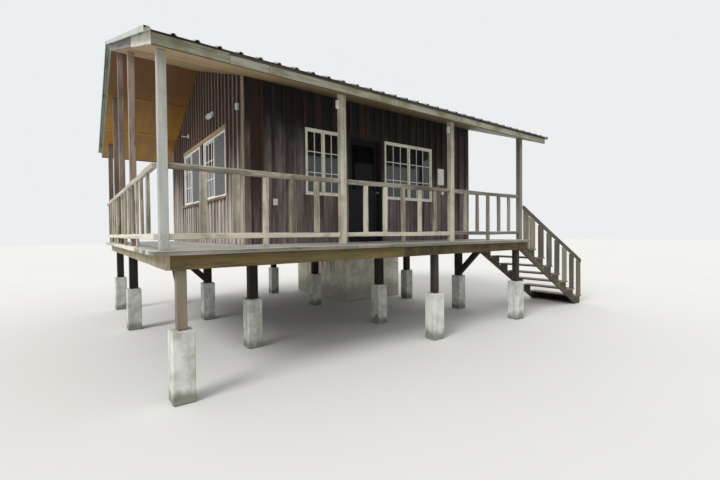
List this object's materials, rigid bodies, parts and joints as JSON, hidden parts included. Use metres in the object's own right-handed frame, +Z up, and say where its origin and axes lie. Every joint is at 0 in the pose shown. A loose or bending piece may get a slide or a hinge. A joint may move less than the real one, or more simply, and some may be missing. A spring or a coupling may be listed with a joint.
{
  "type": "stilt house",
  "caption": "Small timber house on stilts and concrete piers, with an L-shaped veranda, ribbed metal gable roof, railings, outside stair and a hinged front door.",
  "frame": {"origin": "middle of the whole house's outline, roof and stair included, at the level of the piers' feet", "axes": "+X along the front to the right, +Y from the front to the back, +Z up"},
  "size_m": [10.172, 7.9772, 5.6417],
  "materials": {
    "concrete": "rough cast concrete",
    "stilt_timber": "dark rough sawn",
    "frame_timber": "weathered, with algae",
    "deck_timber": "weathered grey boards",
    "rail_timber": "weathered, rough hewn",
    "siding": "dark stained boards and battens",
    "trim_timber": "weathered",
    "white_frame": "white enamel",
    "window_glass": "clear",
    "door_paint": "dark blue paint",
    "door_lining": "weathered",
    "ceiling_pale": "varnished boards",
    "ceiling_golden": "varnished boards",
    "roof_metal": "ribbed sheet",
    "edge_metal": "folded sheet",
    "fascia_timber": "weathered, with algae",
    "barge_paint": "weathered white paint"
  },
  "bodies": {
    "house": {"piers_front": "concrete", "piers_inner": "concrete", "concrete_core": "concrete", "stilts_front": "frame_timber", "stilts_inner": "stilt_timber", "knee_braces": "stilt_timber", "floor_frame": "stilt_timber", "rim_joists": "frame_timber", "deck_front": "deck_timber", "deck_left": "deck_timber", "house_floor": "deck_timber", "front_wall_left": "siding", "front_wall_right": "siding", "front_wall_over_door": "siding", "left_wall": "siding", "right_wall": "siding", "back_wall": "siding", "corner_boards": "trim_timber", "window_frames_front": "white_frame", "window_frames_left": "white_frame", "window_frames_right": "white_frame", "window_frames_back": "white_frame", "window_glass": "window_glass", "window_trims": "trim_timber", "door_frame": "door_lining", "posts_front": "rail_timber", "posts_left": "rail_timber", "rail_front": "rail_timber", "rail_left": "rail_timber", "ceiling_front": "ceiling_pale", "ceiling_rear": "ceiling_golden", "ridge_board": "frame_timber", "rafters": "frame_timber", "roof_sheet_front": "roof_metal", "roof_sheet_rear": "roof_metal", "ridge_cap": "roof_metal", "roof_edge_trim": "edge_metal", "fascias": "fascia_timber", "bargeboards_front": "barge_paint", "bargeboards_rear": "fascia_timber", "stair_stringers": "frame_timber", "stair_treads": "rail_timber", "stair_foot": "stilt_timber", "stair_rail": "rail_timber"},
    "door": {"front_door": "door_paint", "door_glass": "window_glass"}
  },
  "joints": [
    {"name": "door_hinge", "type": "hinge", "parent": "house", "child": "door", "pos_m": [-1.27, -1.875, 2.7], "axis": [0, 0, 1], "range_deg": [0, 90]}
  ]
}
